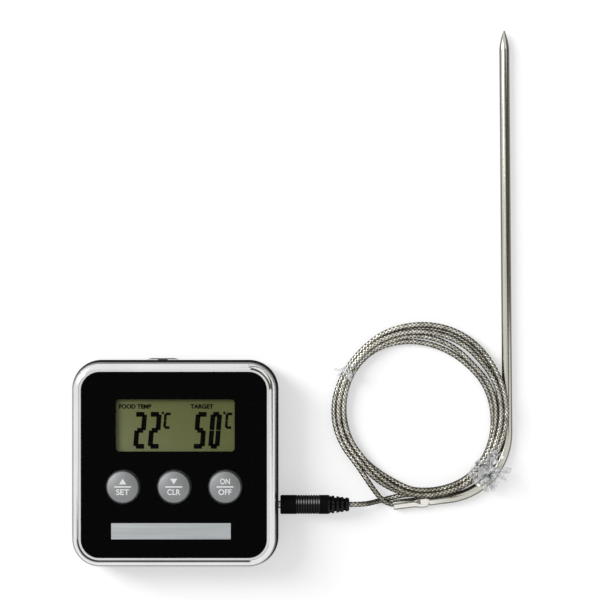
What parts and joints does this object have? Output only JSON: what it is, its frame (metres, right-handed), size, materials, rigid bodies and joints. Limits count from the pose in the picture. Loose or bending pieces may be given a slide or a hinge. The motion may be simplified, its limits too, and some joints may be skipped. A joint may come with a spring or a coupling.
{
  "type": "meat thermometer",
  "caption": "Square meat thermometer with a display, three keys and a fold-out stand, joined by a plug and a coiled braided lead to a bent steel probe.",
  "frame": {"origin": "centre of the display unit's back face, on the surface it lies on", "axes": "+Z out of the display, +Y towards the unit's top edge with the slide switch and towards the probe's tip, +X towards the socket side"},
  "size_m": [0.1501, 0.1827, 0.0185],
  "materials": {
    "case_plastic": "satin black moulding",
    "plated_plastic": "bright chrome-plated moulding",
    "panel_plastic": "gloss black",
    "clear_plastic": "clear",
    "display_glass": "olive grey liquid crystal",
    "frame_plastic": "natural white",
    "contact_rubber": "layered conductive rubber",
    "board_laminate": "green solder mask",
    "epoxy": "black epoxy",
    "silicone": "grey silicone",
    "key_plastic": "satin silver-grey",
    "strip_metal": "brushed",
    "socket_plastic": "black",
    "knob_plastic": "mid grey",
    "contact_metal": "nickel plated",
    "cell_jacket": "plain printed sleeve",
    "magnet_metal": "nickel plated magnet",
    "screw_steel": "zinc plated",
    "plug_vinyl": "black moulded vinyl",
    "pin_liner": "black",
    "braided_lead": "stainless braid over a silicone lead",
    "probe_steel": "polished stainless",
    "sensor_glass": "bead",
    "wire_jacket": "insulated wire",
    "tie_film": "clear film"
  },
  "bodies": {
    "housing": {"rear_case": "case_plastic", "front_bezel": "plated_plastic", "face_panel": "panel_plastic", "display_lens": "clear_plastic", "lcd_glass": "display_glass", "lcd_holder": "frame_plastic", "zebra_strips": "contact_rubber", "circuit_board": "board_laminate", "chip_blob": "epoxy", "board_components": "epoxy", "keypad": "silicone", "name_strip": "strip_metal", "jack_socket": "socket_plastic", "socket_contacts": "contact_metal", "mode_switch_body": "socket_plastic", "buzzer": "socket_plastic", "battery": "cell_jacket", "battery_spring": "contact_metal", "battery_contact": "contact_metal", "magnet_left": "magnet_metal", "magnet_right": "magnet_metal", "case_screws": "screw_steel", "board_screws": "screw_steel"},
    "key_up": {"button_up": "key_plastic"},
    "key_down": {"button_down": "key_plastic"},
    "key_start": {"button_start": "key_plastic"},
    "switch_knob": {"mode_switch_knob": "knob_plastic"},
    "door": {"battery_cover": "case_plastic"},
    "leg": {"stand": "case_plastic"},
    "probe_lead": {"plug_body": "plug_vinyl", "plug_sleeve": "contact_metal", "plug_insulator": "pin_liner", "plug_tip": "contact_metal", "lead_from_plug": "braided_lead", "lead_coil": "braided_lead", "lead_to_probe": "braided_lead", "lead_end": "braided_lead", "probe_tube": "probe_steel", "probe_tip": "probe_steel", "thermistor": "sensor_glass", "thermistor_wires": "wire_jacket", "tie_lower": "tie_film", "tie_upper": "tie_film"}
  },
  "joints": [
    {"name": "key_up_press", "type": "slide", "parent": "housing", "child": "key_up", "axis": [0, 0, -1], "range_m": [0, 0.0006], "stiffness_N_per_m": 400},
    {"name": "key_down_press", "type": "slide", "parent": "housing", "child": "key_down", "axis": [0, 0, -1], "range_m": [0, 0.0006], "stiffness_N_per_m": 400},
    {"name": "key_start_press", "type": "slide", "parent": "housing", "child": "key_start", "axis": [0, 0, -1], "range_m": [0, 0.0006], "stiffness_N_per_m": 400},
    {"name": "mode_switch_slide", "type": "slide", "parent": "housing", "child": "switch_knob", "axis": [1, 0, 0], "range_m": [0, 0.003]},
    {"name": "battery_door_slide", "type": "slide", "parent": "housing", "child": "door", "axis": [0, -1, 0], "range_m": [0, 0.02]},
    {"name": "stand_fold", "type": "hinge", "parent": "housing", "child": "leg", "pos_m": [0, 0.021, 0.0012], "axis": [1, 0, 0], "range_deg": [0, 55]},
    {"name": "plug_pull", "type": "slide", "parent": "housing", "child": "probe_lead", "axis": [1, 0, 0], "range_m": [0, 0.016]}
  ]
}
